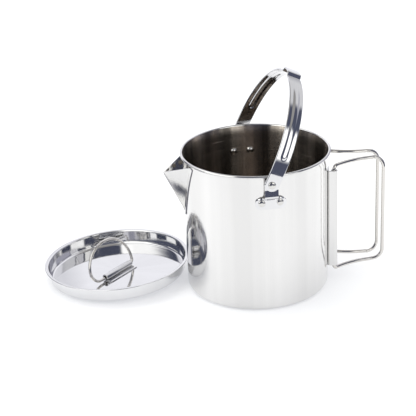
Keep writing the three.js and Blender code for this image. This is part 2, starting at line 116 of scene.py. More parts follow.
def finished(name, bm, material, matrix=None, sharp=40):
    """A mesh object in metres from a bmesh in millimetres, smooth except at edges sharper than an angle."""
    bmesh.ops.remove_doubles(bm, verts=bm.verts, dist=1e-4)
    bmesh.ops.dissolve_degenerate(bm, edges=bm.edges, dist=1e-5)
    bmesh.ops.recalc_face_normals(bm, faces=bm.faces)
    mesh = bpy.data.meshes.new(name)
    bm.to_mesh(mesh)
    bm.free()
    mesh.transform(Matrix.Scale(MM, 4) @ (matrix or Matrix.Identity(4)))
    mesh.shade_smooth()
    mesh.set_sharp_from_angle(angle=math.radians(sharp))
    mesh.materials.append(material)
    piece = bpy.data.objects.new(name, mesh)
    bpy.context.scene.collection.objects.link(piece)
    return piece


def skin(bm, rows, wrap_columns=False):
    """Quads over a grid of points, with a UV map in metres: U along each row, V from row to row."""
    uv = bm.loops.layers.uv.verify()
    width = len(rows[0])
    verts = [[bm.verts.new(p) for p in row] for row in rows]
    longest = max(rows, key=lambda row: sum((Vector(a) - Vector(b)).length for a, b in zip(row, row[1:])))
    across = [0.0]
    for a, b in zip(longest, longest[1:] + longest[:1]):
        across.append(across[-1] + (Vector(b) - Vector(a)).length)
    along = [0.0]
    middle = width // 3
    for a, b in zip(rows, rows[1:]):
        along.append(along[-1] + (Vector(b[middle]) - Vector(a[middle])).length)
    for i in range(len(rows) - 1):
        for j in range(width if wrap_columns else width - 1):
            corners = ((i, j), (i, j + 1), (i + 1, j + 1), (i + 1, j))
            quad = [verts[r][c % width] for r, c in corners]
            face = bm.faces.new(quad)
            for loop, (r, c) in zip(face.loops, corners):
                loop[uv].uv = (across[c] * MM, along[r] * MM)
    return verts


def cap(bm, ring):
    """Closes a ring of vertices with a fan, so that a bulged or flat end stays tidy."""
    centre = sum((v.co for v in ring), Vector()) / len(ring)
    hub = bm.verts.new(centre)
    for a, b in zip(ring, ring[1:] + ring[:1]):
        bm.faces.new((a, b, hub))


def lathe(name, profile, material, segments, matrix=None, sharp=40):
    """A profile of (radius, height) points turned about +Z."""
    bm = bmesh.new()
    turns = [TAU * i / segments for i in range(segments)]
    rows = [[(r * math.cos(a), r * math.sin(a), z) for a in turns] for r, z in profile]
    skin(bm, rows, wrap_columns=True)
    return finished(name, bm, material, matrix, sharp)


def sweep(name, path, section, material, matrix=None, hint=Z_AXIS, sharp=40):
    """A section of (side, up) points, or one per path point, carried along a path without twisting."""
    count = len(path)
    tangents = []
    for i in range(count):
        ahead, behind = path[min(i + 1, count - 1)], path[max(i - 1, 0)]
        tangents.append((ahead - behind).normalized())
    up = (hint - tangents[0] * hint.dot(tangents[0])).normalized()
    bm = bmesh.new()
    rows = []
    for i in range(count):
        up = (up - tangents[i] * up.dot(tangents[i])).normalized()
        side = tangents[i].cross(up)
        shape = section(i) if callable(section) else section
        rows.append([path[i] + side * a + up * b for a, b in shape])
    verts = skin(bm, rows, wrap_columns=True)
    cap(bm, verts[0])
    cap(bm, verts[-1])
    return finished(name, bm, material, matrix, sharp)


def round_section(radius, sides=28):
    return arc(0, 0, radius, 0, TAU * (sides - 1) / sides, sides)


def dense(points, step):
    """A polyline cut into pieces no longer than a step."""
    out = []
    for a, b in zip(points, points[1:]):
        pieces = max(1, math.ceil((b - a).length / step))
        out += [a.lerp(b, i / pieces) for i in range(pieces)]
    return out + [points[-1]]


def bend(corner, to_start, to_end, radius, count=10):
    """Points round a bend at a corner, between the directions that point away from it."""
    start, end = to_start.normalized(), to_end.normalized()
    half = start.angle(end) / 2
    reach = radius / math.tan(half)
    centre = corner + (start + end).normalized() * (radius / math.sin(half))
    first = corner + start * reach - centre
    last = corner + end * reach - centre
    axis = first.cross(last).normalized()
    turn = first.angle(last)
    return [centre + Matrix.Rotation(turn * i / count, 3, axis) @ first for i in range(count + 1)]


def thickened(path, thickness, ends=5):
    """The outline of a sheet of one thickness whose middle follows a flat path, with rounded ends."""
    half = thickness / 2
    normals = []
    for i in range(len(path)):
        ax, ay = path[max(i - 1, 0)]
        bx, by = path[min(i + 1, len(path) - 1)]
        length = math.hypot(bx - ax, by - ay)
        normals.append((-(by - ay) / length, (bx - ax) / length))
    left = [(x + nx * half, y + ny * half) for (x, y), (nx, ny) in zip(path, normals)]
    right = [(x - nx * half, y - ny * half) for (x, y), (nx, ny) in zip(path, normals)]

    def end(centre, normal, sign):
        base = math.atan2(normal[1], normal[0])
        turns = spaced(base, base - sign * math.pi, ends + 2)[1:-1]
        return [(centre[0] + half * math.cos(a), centre[1] + half * math.sin(a)) for a in turns]

    far_end = end(path[-1], normals[-1], 1)
    near_end = end(path[0], (-normals[0][0], -normals[0][1]), 1)
    return left + far_end + right[::-1] + near_end


def prism(name, outline, low, high, material, matrix=None, chamfer=0.15, sharp=40):
    """A flat outline drawn up from one height to another, with softened top and bottom edges."""
    count = len(outline)
    normals = []
    for i in range(count):
        ax, ay = outline[i - 1]
        bx, by = outline[(i + 1) % count]
        length = math.hypot(bx - ax, by - ay) or 1.0
        normals.append(((by - ay) / length, -(bx - ax) / length))
    area = sum(a[0] * b[1] - b[0] * a[1] for a, b in zip(outline, outline[1:] + outline[:1]))
    sign = 1 if area > 0 else -1

    def ring(z, inset):
        inward = sign * inset
        return [(x - nx * inward, y - ny * inward, z) for (x, y), (nx, ny) in zip(outline, normals)]

    bm = bmesh.new()
    rows = [ring(low, chamfer), ring(low + chamfer * 0.3, chamfer * 0.3), ring(low + chamfer, 0)]
    rows += [ring(z, 0) for z in spaced(low + 2 * chamfer, high - 2 * chamfer, 12)]
    rows += [ring(high - chamfer, 0), ring(high - chamfer * 0.3, chamfer * 0.3), ring(high, chamfer)]
    verts = skin(bm, rows, wrap_columns=True)
    bm.faces.new(verts[0])
    bm.faces.new(verts[-1])
    return finished(name, bm, material, matrix, sharp)


def placed(piece, body, slot, *nodes):
    """The piece rides on a body and stands for CAD nodes, which are hidden; the slot is not used."""
    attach(piece, body)
    if nodes:
        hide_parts(*nodes)
    return piece


def polar(radius, angle, z):
    return Vector((radius * math.cos(angle), radius * math.sin(angle), z))


# ---- materials --------------------------------------------------------------------------------------

def steel(name, tint, rough_low, rough_high, streak, bump, smudge=0.35, bands=(24, 0.6), shade=0.93):
    """Polished steel with fine streaks along V, faint smudges and a colour that varies in broad bands; with
    a low shade, as inside the pot, those bands are painted dark reflections.
    """
    material = bpy.data.materials.new(name)
    material.use_nodes = True
    nodes, links = material.node_tree.nodes, material.node_tree.links
    shader = nodes["Principled BSDF"]
    shader.inputs["Metallic"].default_value = 1.0
    shader.inputs["IOR"].default_value = 2.5

    place = nodes.new("ShaderNodeTexCoord")
    stretch = nodes.new("ShaderNodeMapping")
    stretch.inputs["Scale"].default_value = (streak[0], streak[1], 1.0)
    links.new(place.outputs["UV"], stretch.inputs["Vector"])
    lines = nodes.new("ShaderNodeTexNoise")
    lines.inputs["Scale"].default_value = 1.0
    lines.inputs["Detail"].default_value = 6.0
    lines.inputs["Roughness"].default_value = 0.62
    links.new(stretch.outputs["Vector"], lines.inputs["Vector"])

    cloud = nodes.new("ShaderNodeTexNoise")
    cloud.inputs["Scale"].default_value = 38.0
    cloud.inputs["Detail"].default_value = 4.0
    links.new(place.outputs["Object"], cloud.inputs["Vector"])
    blend = nodes.new("ShaderNodeMix")
    blend.inputs["Factor"].default_value = smudge
    links.new(lines.outputs["Fac"], blend.inputs["A"])
    links.new(cloud.outputs["Fac"], blend.inputs["B"])

    rough = nodes.new("ShaderNodeMapRange")
    rough.inputs["From Min"].default_value = 0.3
    rough.inputs["From Max"].default_value = 0.7
    rough.inputs["To Min"].default_value = rough_low
    rough.inputs["To Max"].default_value = rough_high
    links.new(blend.outputs["Result"], rough.inputs["Value"])
    links.new(rough.outputs["Result"], shader.inputs["Roughness"])

    spread = nodes.new("ShaderNodeMapping")
    spread.inputs["Scale"].default_value = (bands[0], bands[1], 1.0)
    links.new(place.outputs["UV"], spread.inputs["Vector"])
    broad = nodes.new("ShaderNodeTexNoise")
    broad.inputs["Scale"].default_value = 1.0
    broad.inputs["Detail"].default_value = 3.0
    links.new(spread.outputs["Vector"], broad.inputs["Vector"])
    both = nodes.new("ShaderNodeMix")
    both.inputs["Factor"].default_value = 0.85
    links.new(blend.outputs["Result"], both.inputs["A"])
    links.new(broad.outputs["Fac"], both.inputs["B"])
    contrast = nodes.new("ShaderNodeMapRange")
    contrast.inputs["From Min"].default_value = 0.40
    contrast.inputs["From Max"].default_value = 0.62
    links.new(both.outputs["Result"], contrast.inputs["Value"])
    # The colour runs between tint × shade and tint: a faint tone drift, and where shade is low, painted dark
    # reflections.
    tone_and_painted_bands = nodes.new("ShaderNodeMix")
    tone_and_painted_bands.data_type = "RGBA"
    tone_and_painted_bands.inputs["A"].default_value = (*[c * shade for c in tint], 1.0)
    tone_and_painted_bands.inputs["B"].default_value = (*[min(c * 1.03, 1.0) for c in tint], 1.0)
    links.new(contrast.outputs["Result"], tone_and_painted_bands.inputs["Factor"])
    links.new(tone_and_painted_bands.outputs["Result"], shader.inputs["Base Color"])

    relief = nodes.new("ShaderNodeBump")
    relief.inputs["Strength"].default_value = bump
    relief.inputs["Distance"].default_value = 0.00004
    links.new(lines.outputs["Fac"], relief.inputs["Height"])
    links.new(relief.outputs["Normal"], shader.inputs["Normal"])
    return material


def brushed_round(material, anisotropy):
    """Brushing round the Z axis, which draws every reflection out upright."""
    nodes, links = material.node_tree.nodes, material.node_tree.links
    shader = nodes["Principled BSDF"]
    around = nodes.new("ShaderNodeTangent")
    around.direction_type = "RADIAL"
    around.axis = "Z"
    links.new(around.outputs["Tangent"], shader.inputs["Tangent"])
    shader.inputs["Anisotropic"].default_value = anisotropy
    shader.inputs["Anisotropic Rotation"].default_value = 0.25


WARM_STEEL = (0.775, 0.77, 0.762)
COOL_STEEL = (0.74, 0.74, 0.75)
POT_STEEL = steel("pot steel", WARM_STEEL, 0.035, 0.11, (900, 9), 0.28, shade=0.9)
BROWN_STEEL = (0.78, 0.70, 0.62)
# Inside the pot the base colour falls to a fifth in upright bands: painted dark reflections, not a stain.
POT_INSIDE_PAINTED_REFLECTIONS = steel("pot inside painted dark bands", BROWN_STEEL, 0.22, 0.28, (12, 900), 0.04,
                   smudge=0.2, bands=(58, 1.5), shade=0.2)
brushed_round(POT_INSIDE_PAINTED_REFLECTIONS, 0.92)
# A near-black steel for the flange's outer edge: painted shadow of the gap along it.
GAP_SHADOW_STEEL = steel("painted gap shadow", (0.24, 0.24, 0.27), 0.35, 0.5, (900, 900), 0.3)
LID_STEEL = steel("lid steel", COOL_STEEL, 0.03, 0.08, (260, 14), 0.10, shade=0.98)
STRAP_STEEL = steel("strap steel", COOL_STEEL, 0.03, 0.09, (700, 30), 0.18)
WIRE_STEEL = steel("wire steel", (0.72, 0.70, 0.67), 0.04, 0.12, (1500, 60), 0.22)
RIVET_STEEL = steel("rivet steel", (0.69, 0.68, 0.66), 0.08, 0.16, (1200, 900), 0.2)


# ---- pot --------------------------------------------------------------------------------------------

def pot_profile():
    inner = POT_RADIUS - SHEET
    bead_x, bead_z = inner + FLARE + RIM_BEAD, POT_HEIGHT - RIM_BEAD
    flare_z = POT_HEIGHT - FLARE_HEIGHT
    corner = POT_RADIUS - POT_CORNER
    base = [(0, 0.6), (20, 0.6), (45.6, 0.6), (46.4, 0.5), (47.2, 0.1), (48, 0)]
    outer_corner = arc(corner, POT_CORNER, POT_CORNER, -math.pi / 2, 0, 14)
    wall = [(POT_RADIUS, z) for z in spaced(8, flare_z, 28)]
    bead = arc(bead_x, bead_z, RIM_BEAD, BEAD_TUCK, math.pi, 26)
    tuck_x, tuck_z = bead[0]
    parts = spaced(0, 1, 10)
    spread, climb = tuck_x - POT_RADIUS, tuck_z - flare_z
    flare_out = [(POT_RADIUS + spread * t * t, flare_z + climb * t) for t in parts]
    flare_in = [(inner + FLARE * t * t, flare_z + (bead_z - flare_z) * t) for t in reversed(parts)]
    inside = [(inner, z) for z in spaced(flare_z, 8, 28)]
    inner_corner = arc(corner, POT_CORNER, POT_CORNER - SHEET, 0, -math.pi / 2, 14)
    floor = [(48.4, 0.8), (47.6, 0.9), (46.8, 1.3), (46, 1.4), (20, 1.4), (0, 1.4)]
    outside = base + outer_corner + wall + flare_out[1:-1]
    return outside + bead[:-1] + flare_in[:-1] + inside + inner_corner + floor


def strainer_cutter():
    """Rows of round holes in the wall behind the spout, narrowing downwards as the spout does."""
    bm = bmesh.new()
    for row in range(HOLE_ROWS):
        count = HOLE_ROWS - row
        for i in range(count):
            angle = math.pi - math.asin((i - (count - 1) / 2) * HOLE_PITCH / POT_RADIUS)
            on_wall = Matrix.Translation((POT_RADIUS, 0, HOLE_TOP - row * HOLE_DROP))
            matrix = Matrix.Rotation(angle, 4, "Z") @ on_wall @ Matrix.Rotation(math.pi / 2, 4, "Y")
            bmesh.ops.create_cone(bm, cap_ends=True, segments=36, radius1=HOLE_RADIUS, radius2=HOLE_RADIUS,
                                  depth=6, matrix=matrix)
    return finished("strainer_cutter", bm, POT_STEEL)


def cut(piece, cutter):
    """Takes the cutter away from the piece."""
    boolean = piece.modifiers.new("cut", "BOOLEAN")
    boolean.operation = "DIFFERENCE"
    boolean.solver = "EXACT"
    boolean.object = cutter
    graph = bpy.context.evaluated_depsgraph_get()
    mesh = bpy.data.meshes.new_from_object(piece.evaluated_get(graph))
    piece.modifiers.clear()
    piece.data = mesh
    bpy.data.objects.remove(cutter)


def true_wall_normals(mesh):
    """Shades the upright wall as a true cylinder, so that the cut holes don't mark its reflections."""
    normals = [corner.vector.copy() for corner in mesh.corner_normals]
    for face in mesh.polygons:
        flat = Vector((face.center.x, face.center.y, 0)).normalized()
        facing = face.normal.dot(flat)
        upright = POT_CORNER * MM < face.center.z < (POT_HEIGHT - FLARE_HEIGHT) * MM
        if upright and abs(facing) > 0.98:
            for i in face.loop_indices:
                p = mesh.vertices[mesh.loops[i].vertex_index].co
                normals[i] = Vector((p.x, p.y, 0)).normalized() * math.copysign(1, facing)
    mesh.normals_split_custom_set(normals)


def finish_inside(pot):
    """The inside is not polished: it keeps the brushing that runs round the wall, and its colour is painted
    with dark upright bands of reflected shade.
    """
    pot.data.materials.append(POT_INSIDE_PAINTED_REFLECTIONS)
    for face in pot.data.polygons:
        flat = Vector((face.center.x, face.center.y, 0))
        facing_in = flat.length > 0 and face.normal.dot(flat.normalized()) < -0.3
        on_floor = face.normal.z > 0.7 and face.center.z < POT_CORNER * MM
        if facing_in and face.center.z < (POT_HEIGHT - RIM_BEAD) * MM or on_floor:
            face.material_index = 1


def make_pot():
    pot = lathe("pot_shell", pot_profile(), POT_STEEL, segments=288)
    cut(pot, strainer_cutter())
    true_wall_normals(pot.data)
    finish_inside(pot)
    placed(pot, "pot", "pot_steel", "pot_body")


# ---- spout ------------------------------------------------------------------------------------------

def spout_edge(side):
    """The direction of the mouth's edge, from the tip to a corner on the wall."""
    corner_x = -math.sqrt(POT_RADIUS ** 2 - SPOUT_CORNER_Y ** 2)
    return (Vector((corner_x, side * SPOUT_CORNER_Y, SPOUT_CORNER_Z)) - SPOUT_TIP).normalized()


def reach_wall(start, direction):
    """How far along a direction the wall is."""
    a = direction.x ** 2 + direction.y ** 2
    b = start.x * direction.x + start.y * direction.y
    c = start.x ** 2 + start.y ** 2 - (POT_RADIUS + 0.05) ** 2
    return (-b - math.sqrt(max(b * b - a * c, 0.0))) / a


def keel_point(part):
    return Vector((-POT_RADIUS, 0, SPOUT_LOW)).lerp(SPOUT_TIP, part)


def joint_point(part, side):
    """A point of the line where a face of the spout meets the wall."""
    edge = spout_edge(side)
    return keel_point(part) + edge * reach_wall(keel_point(part), edge)


def spout_row(part, fold=1.6):
    """Both faces at one height of the keel, with the fold between them rounded."""
    keel = keel_point(part)
    left, right = spout_edge(-1), spout_edge(1)
    length = max(reach_wall(keel, right), 0.02)
    near = min(fold, length * 0.45)
    flank = spaced(near, length, 16)
    a, b = keel + left * near, keel + right * near
    nose = [a * (1 - t) ** 2 + keel * 2 * t * (1 - t) + b * t ** 2 for t in spaced(0, 1, 9)[1:-1]]
    return [keel + left * s for s in reversed(flank)] + nose + [keel + right * s for s in flank]


def paint_gap_shadow_on_edge(strip):
    """The strip's outer edge faces take a dark steel: a painted shadow of the gap between the strip's edge
    and the wall.
    """
    strip.data.materials.append(GAP_SHADOW_STEEL)
    for face in strip.data.polygons:
        outward = Vector((face.center.x, face.center.y, 0)).normalized()
        if abs(face.normal.dot(outward)) < 0.6:
            face.material_index = 1


def make_flange(name, side):
    """The strip by which one face of the spout is spot welded to the wall."""
    section = [(-0.6, 0.05), (-0.6, FLANGE_THICK)]
    section += [(FLANGE_WIDTH - 0.5, FLANGE_THICK)]
    section += arc(FLANGE_WIDTH - 0.3, FLANGE_THICK - 0.3, 0.3, math.pi / 2, 0, 5)
    section += [(FLANGE_WIDTH, 0.05)]
    rows = []
    for part in spaced(0.02, 1, 60):
        point = joint_point(part, side)
        along = (joint_point(min(part + 0.01, 1.01), side) - point).normalized()
        outward = Vector((point.x, point.y, 0)).normalized()
        across = along.cross(outward) * -side
        row = []
        for w, lift in section:
            spot = point + across * w
            out = Vector((spot.x, spot.y, 0)).normalized() * (POT_RADIUS + lift)
            row.append(Vector((out.x, out.y, spot.z)))
        rows.append(row)
    bm = bmesh.new()
    verts = skin(bm, rows, wrap_columns=True)
    cap(bm, verts[0])
    cap(bm, verts[-1])
    strip = finished(name, bm, POT_STEEL, sharp=35)
    paint_gap_shadow_on_edge(strip)
    placed(strip, "pot", "pot_steel")


def make_spout():
    """A V of two flat faces folded round a keel, trimmed to the wall and to the sloping mouth."""
    parts = [1 - (1 - i / 26) ** 1.2 for i in range(27)]
    bm = bmesh.new()
    skin(bm, [spout_row(max(part, 0.012)) for part in parts])
    piece = finished("spout_sheet", bm, POT_STEEL)
    solid = piece.modifiers.new("sheet", "SOLIDIFY")
    solid.thickness = SHEET * MM
    solid.offset = -1.0
    solid.use_even_offset = True
    soft = piece.modifiers.new("edges", "BEVEL")
    soft.width = 0.16 * MM
    soft.segments = 2
    soft.limit_method = "ANGLE"
    soft.angle_limit = math.radians(50)
    placed(piece, "pot", "pot_steel", "spout")
    make_flange("spout_flange_front", -1)
    make_flange("spout_flange_back", 1)


# ---- ears and rivets --------------------------------------------------------------------------------

def ear_outline():
    """The flat pattern of an ear, as (side, height) points: a round-ended bar and a round-topped tongue."""
    low, high = EAR_BAR
    end, half = (high - low) / 2, EAR_TONGUE / 2
    fillet = 1.8
    right_end = arc(EAR_HALF - end, (low + high) / 2, end, -math.pi / 2, math.pi / 2, 14)
    right_fillet = arc(half + fillet, high + fillet, fillet, -math.pi / 2, -math.pi, 7)
    top = arc(0, PIVOT_Z, half, 0, math.pi, 26)
    left_fillet = [(-x, y) for x, y in reversed(right_fillet)]
    left_end = [(-x, y) for x, y in reversed(right_end)]
    return right_end + right_fillet + top + left_fillet + left_end


def ear_radius(z):
    """How far the ear's inner face stands from the pot's axis: on the wall, then out past the rim."""
    low = EAR_BAR[1] - 1.3
    step_out = smoothstep(low, low + 2.8, z) * (EAR_JOG - EAR_WALL)
    lean_in = min(max((z - low - 2.8) / 6.0, 0.0), 1.0) * (EAR_JOG - EAR_TOP)
    return EAR_WALL + step_out - lean_in


def make_ear(name, node, turn):
    bm = bmesh.new()
    outline = [bm.verts.new((x, 0, z)) for x, z in ear_outline()]
    bm.faces.new(outline)
    for z in spaced(EAR_BAR[0] + 1, EAR_BAR[1] - 2, 8) + spaced(EAR_BAR[1] - 1.5, PIVOT_Z - 3, 44):
        geometry = bm.verts[:] + bm.edges[:] + bm.faces[:]
        bmesh.ops.bisect_plane(bm, geom=geometry, plane_co=(0, 0, z), plane_no=(0, 0, 1), dist=1e-5)
    for x in spaced(-EAR_HALF + 1, EAR_HALF - 1, 24):
        geometry = bm.verts[:] + bm.edges[:] + bm.faces[:]
        bmesh.ops.bisect_plane(bm, geom=geometry, plane_co=(x, 0, 0), plane_no=(1, 0, 0), dist=1e-5)
    uv = bm.loops.layers.uv.verify()
    for face in bm.faces:
        for loop in face.loops:
            loop[uv].uv = (loop.vert.co.x * MM, loop.vert.co.z * MM)
    for vert in bm.verts:
        x, z = vert.co.x, vert.co.z
        radius = ear_radius(z)
        flat = smoothstep(EAR_BAR[1] - 1.3, EAR_BAR[1] + 1.5, z)
        curved = math.sqrt(radius ** 2 - x ** 2)
        vert.co = Vector((x, curved * (1 - flat) + radius * flat, z))
    matrix = Matrix.Rotation(turn, 4, "Z")
    piece = finished(name, bm, STRAP_STEEL, matrix, sharp=50)
    outward = matrix @ Y_AXIS
    if piece.data.polygons[0].normal.dot(outward) < 0:
        piece.data.flip_normals()
    solid = piece.modifiers.new("sheet", "SOLIDIFY")
    solid.thickness = EAR_THICK * MM
    solid.offset = 1.0
    soft = piece.modifiers.new("edges", "BEVEL")
    soft.width = 0.28 * MM
    soft.segments = 3
    soft.limit_method = "ANGLE"
    soft.angle_limit = math.radians(50)
    placed(piece, "pot", "strap_steel", node)


def rivet_profile(inner, outer, shank, inner_head, outer_head, flatness):
    """A rivet along +Z, as (radius, height) points: two heads on a shank, the outer one flattened."""
    def dome(base, head, height, power):
        points = []
        for a in spaced(0, math.pi / 2, 18):
            points.append((head * math.cos(a) ** power, base + height * math.sin(a) ** power))
        return [(head * 0.93, base)] + points
    lower = dome(inner, inner_head[0], -inner_head[1], 1.0)
    upper = dome(outer, outer_head[0], outer_head[1], flatness)
    return lower[::-1] + [(shank, inner), (shank, outer)] + upper


def make_rivet(name, node, profile, angle, z):
    turned = Matrix.Rotation(angle, 4, "Z") @ Matrix.Rotation(math.pi / 2, 4, "Y")
    matrix = Matrix.Translation((0, 0, z)) @ turned
    piece = lathe(name, profile, RIVET_STEEL, segments=48, matrix=matrix, sharp=50)
    placed(piece, "pot", "rivet_steel", node)


def make_ears():
    front, back = -math.pi / 2, math.pi / 2
    make_ear("ear_front_plate", "ear_front", math.pi)
    make_ear("ear_back_plate", "ear_back", 0.0)
    step = math.asin(RIVET_SPACING / (POT_RADIUS + 1))
    inner = POT_RADIUS - SHEET - 0.05
    outer = EAR_WALL + EAR_THICK
    for name, angle in (
        ("front_left", front - step), ("front_right", front + step),
        ("back_right", back - step), ("back_left", back + step),
    ):
        profile = rivet_profile(inner, outer, 1.7, INNER_HEAD, RIVET_HEAD, flatness=0.75)
        make_rivet("rivet_" + name, "ear_rivet_" + name, profile, angle, RIVET_Z)
    strap_face = BAIL_SPAN + BAIL_THICK / 2
    for name, angle in (("front", front), ("back", back)):
        ends = (EAR_TOP - 0.05, strap_face + 0.06)
        profile = rivet_profile(*ends, 2.0, (3.0, 0.9), PIVOT_HEAD, flatness=0.7)
        make_rivet("pivot_" + name, "pivot_rivet_" + name, profile, angle, PIVOT_Z)


# ---- bail -------------------------------------------------------------------------------------------

def arch_point(t):
    y = BAIL_SPAN * math.cos(t)
    z = BAIL_STRAIGHT + BAIL_RISE * math.sin(t)
    hump = smoothstep(0, HUMP_HALF - HUMP_TOP, HUMP_HALF - abs(y))
    return Vector((0, y, z + HUMP_HEIGHT * hump))


def arch_path():
    """The middle line of the strap, from the end of one eye to the end of the other."""
    leg = [Vector((0, BAIL_SPAN, z)) for z in spaced(-BAIL_END, BAIL_STRAIGHT, 40)[:-1]]
    hump = math.acos((HUMP_HALF + 0.5) / BAIL_SPAN)
    angles = spaced(0, hump, 120)[:-1] + spaced(hump, math.pi - hump, 60)[:-1]
    angles += spaced(math.pi - hump, math.pi, 120)
    other = [Vector((0, -p.y, p.z)) for p in reversed(leg)]
    return leg + [arch_point(t) for t in angles] + other


def make_bail():
    path = arch_path()
    lengths = [0.0]
    for a, b in zip(path, path[1:]):
        lengths.append(lengths[-1] + (b - a).length)
    total = lengths[-1]
    eye = BAIL_WIDTH / 2

    def section(i):
        s = min(lengths[i], total - lengths[i])
        half = eye * math.sqrt(max(1 - (max(BAIL_END - s, 0) / BAIL_END) ** 2, 1e-5))
        thin = BAIL_THICK / 2
        edge = min(thin * 0.8, half * 0.5)

        def emboss(w):
            """A long bead pressed outwards, round at its lower end and fading out near the hump."""
            away = math.hypot(w, max(BEAD_LOW + BEAD_HALF - s, 0.0))
            fade = 1 - smoothstep(BEAD_HIGH - 24, BEAD_HIGH, s)
            return BEAD_RISE * fade * (1 - smoothstep(BEAD_HALF - 1.7, BEAD_HALF + 0.2, away))

        columns = spaced(-(half - edge), half - edge, 33)
        outer = [(w, thin + emboss(w)) for w in columns]
        inner = [(w, -thin + emboss(w)) for w in reversed(columns)]
        turns = spaced(math.pi / 2, -math.pi / 2, 9)
        right = [(half - edge + edge * math.cos(a), thin * math.sin(a)) for a in turns]
        left = [(-x, -y) for x, y in right]
        return outer + right[1:-1] + inner + left[1:-1]

    matrix = Matrix.Translation((0, 0, PIVOT_Z)) @ Matrix.Rotation(BAIL_LEAN, 4, "Y")
    piece = sweep("bail_band", path, section, STRAP_STEEL, matrix, hint=Y_AXIS, sharp=60)
    placed(piece, "bail", "strap_steel", "bail_strap")


# ---- folding handle ---------------------------------------------------------------------------------

def knuckle_point(side, z):
    return polar(KNUCKLE_CIRCLE, side * KNUCKLE_ANGLE, z)


def make_bracket():
    """One sheet: a plate on the wall, turned outwards along each side and rolled into a knuckle there."""
    middle = POT_RADIUS + 0.1 + BRACKET_THICK / 2
    roll = KNUCKLE_RADIUS - BRACKET_THICK / 2
    fold = 1.1
    foot = math.sqrt(middle ** 2 - roll ** 2)
    plate_end = KNUCKLE_ANGLE + math.asin((roll - fold) / middle)
    plate = [(middle * math.cos(a), middle * math.sin(a)) for a in spaced(0, plate_end, 24)]
    corner = arc(foot + fold, roll - fold, fold, math.pi, math.pi / 2, 8)
    upright = [(u, roll) for u in spaced(foot + fold + 0.4, KNUCKLE_CIRCLE - 0.4, 4)]
    curl = arc(KNUCKLE_CIRCLE, 0, roll, math.pi / 2, math.radians(90 - 275), 44)
    turned = []
    for u, v in corner[1:] + upright + curl:
        turned.append((u * math.cos(KNUCKLE_ANGLE) - v * math.sin(KNUCKLE_ANGLE),
                       u * math.sin(KNUCKLE_ANGLE) + v * math.cos(KNUCKLE_ANGLE)))
    half = plate + turned
    path = [(x, -y) for x, y in reversed(half[1:])] + half
    outline = thickened(path, BRACKET_THICK)
    piece = prism("bracket_sheet", outline, KNUCKLE_LOW, KNUCKLE_HIGH, POT_STEEL, chamfer=0.2)
    placed(piece, "pot", "pot_steel", "handle_bracket")


def wing_path(side):
    """A C of wire whose arms are curved so that they lie along the pot when it is folded."""
    toward_centre = side * (KNUCKLE_ANGLE + math.pi - FOLD)
    centre = polar(KNUCKLE_CIRCLE, toward_centre, 0) + knuckle_point(side, 0)
    arm_start = toward_centre + math.pi

    def arm(turn, z):
        return polar(KNUCKLE_CIRCLE, arm_start + side * turn, z) + centre

    def tangent(turn):
        return polar(1, arm_start + side * (turn + math.pi / 2), 0)

    first = (PIN_BEND + 0.4) / KNUCKLE_CIRCLE
    last = ARM_TURN - (GRIP_BEND + 0.4) / KNUCKLE_CIRCLE
    turns = spaced(first, last, 26)
    out, back = tangent(0), -tangent(ARM_TURN)
    top, low = knuckle_point(side, ARM_HIGH), knuckle_point(side, ARM_LOW)
    points = [top - Z_AXIS * 14]
    points += bend(top, -Z_AXIS, out, PIN_BEND)
    points += [arm(t, ARM_HIGH) for t in turns]
    points += bend(arm(ARM_TURN, ARM_HIGH), back, -Z_AXIS, GRIP_BEND, 14)
    points += bend(arm(ARM_TURN, ARM_LOW), Z_AXIS, back, GRIP_BEND, 14)
    points += [arm(t, ARM_LOW) for t in reversed(turns)]
    points += bend(low, out, Z_AXIS, PIN_BEND)
    points += [low + Z_AXIS * 14]
    return dense(points, 2.5)


def make_handle():
    make_bracket()
    for side, name in ((-1, "front"), (1, "back")):
        section = round_section(WIRE_RADIUS)
        wire = sweep("handle_wire_" + name, wing_path(side), section, WIRE_STEEL, hint=Y_AXIS)
        placed(wire, "wing_" + name, "wire_steel", "handle_wing_" + name)


# ---- lid --------------------------------------------------------------------------------------------

def lid_matrix():
    """The lid leans on the pot: its far corner is on the ground, its near lip against the wall."""
    foot = LID_WALL - LID_CORNER
    lip_reach = LID_LIP * math.cos(LID_LEAN) - LID_DEPTH * math.sin(LID_LEAN)
    distance = POT_RADIUS + 0.4 + lip_reach
    height = foot * math.sin(LID_LEAN) + LID_CORNER * (1 - math.cos(LID_LEAN))
    place = Matrix.Translation(polar(distance, LID_DIRECTION, height))
    return place @ Matrix.Rotation(LID_LEAN, 4, polar(1, LID_DIRECTION + math.pi / 2, 0))


def straight(before, after, count=10):
    """Points between the end of one bend and the start of the next, so that the wall is shaded flat."""
    (ax, ay), (bx, by) = before[-1], after[0]
    return [(ax + (bx - ax) * t, ay + (by - ay) * t) for t in spaced(0, 1, count)[1:-1]]


def lid_profile():
    corner = LID_WALL - LID_CORNER
    under = LID_DEPTH - SHEET
    bend_x, bend_z = LID_WALL + LID_TAPER + LID_SHOULDER, under - LID_SHOULDER
    outer = arc(corner, LID_CORNER, LID_CORNER, -math.pi / 2, 0, 12)
    neck = arc(bend_x, bend_z, LID_SHOULDER, math.pi, math.pi / 2, 10)
    rounding = LID_LIP_ROUND
    lip = arc(LID_LIP - rounding, LID_DEPTH - rounding, rounding, -math.pi / 2, math.pi / 2, 9)
    shoulder = arc(bend_x, bend_z, LID_SHOULDER + SHEET, math.pi / 2, math.pi, 12)
    inner = arc(corner, LID_CORNER, LID_CORNER - SHEET, 0, -math.pi / 2, 12)
    floor = [(50, SHEET), (35, SHEET), (18, SHEET), (0, SHEET)]
    base = [(0, 0), (18, 0), (35, 0), (50, 0)]
    outside = base + outer + straight(outer, neck) + neck
    return outside + lip + shoulder + straight(shoulder, inner) + inner + floor


